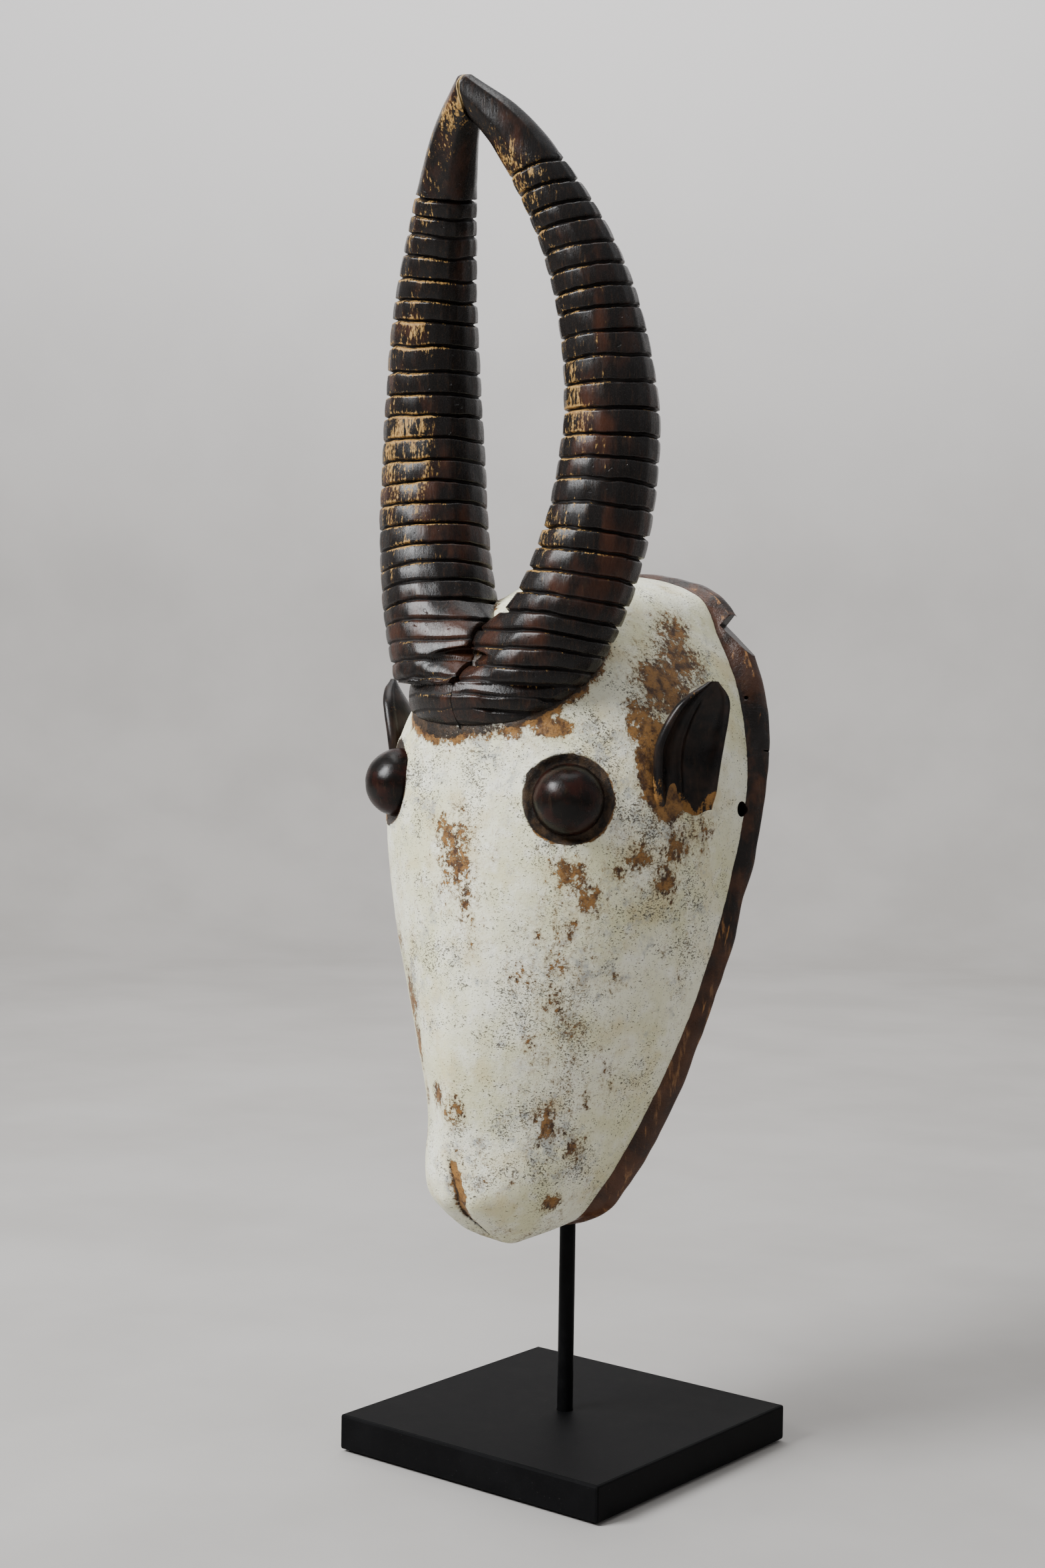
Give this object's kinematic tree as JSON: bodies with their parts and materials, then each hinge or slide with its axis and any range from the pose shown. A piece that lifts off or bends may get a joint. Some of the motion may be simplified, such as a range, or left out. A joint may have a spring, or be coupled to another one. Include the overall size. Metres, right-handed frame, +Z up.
{
  "type": "carved wooden mask on stand",
  "caption": "Carved and painted antelope face mask with tall ringed horns joined at the tips, leaf ears and domed eyes, resting on a steel rod in a square black board.",
  "frame": {"origin": "centre of the felt's underside, under the support rod's axis, where the stand rests on a table", "axes": "+Z up along the support rod, the face looks along -Y, and +X is the mask's own left side"},
  "size_m": [0.2586, 0.222, 0.8322],
  "materials": {
    "limed_wood": "matt cream kaolin paint, worn through to brown wood, with a bare dark rim and back edge",
    "horn_black": "black-brown polished patina with tan wear on the ring edges",
    "ear_black": "black polished patina, tan where worn at the root",
    "eye_brown": "dark red-brown glossy stain",
    "raw_wood": "bare sawn hardwood",
    "black_board": "satin black lacquer on board",
    "black_steel": "satin black painted rod",
    "zinc": "zinc-plated hardware",
    "felt": "black felt",
    "nylon": "natural nylon"
  },
  "bodies": {
    "stand": {"base_felt": "felt", "base_board": "black_board", "support_rod": "black_steel", "rod_washer": "zinc", "rod_nut": "zinc"},
    "cap": {"rod_cap": "nylon"},
    "mask": {"mask_shell": "limed_wood", "crosspiece": "raw_wood", "crosspiece_screw_left": "zinc", "crosspiece_screw_right": "zinc", "horn_left": "horn_black", "horn_right": "horn_black", "horn_dowel_left": "raw_wood", "horn_dowel_right": "raw_wood", "tip_pin": "zinc", "ear_left": "ear_black", "ear_right": "ear_black", "eye_left": "eye_brown", "eye_right": "eye_brown"}
  },
  "joints": [
    {"name": "mask_swivel", "type": "hinge", "parent": "stand", "child": "cap", "pos_m": [0, 0, 0.4164], "axis": [0, 0, 1], "continuous": true},
    {"name": "mask_lift", "type": "slide", "parent": "cap", "child": "mask", "axis": [0, 0, 1], "range_m": [0, 0.28]}
  ]
}
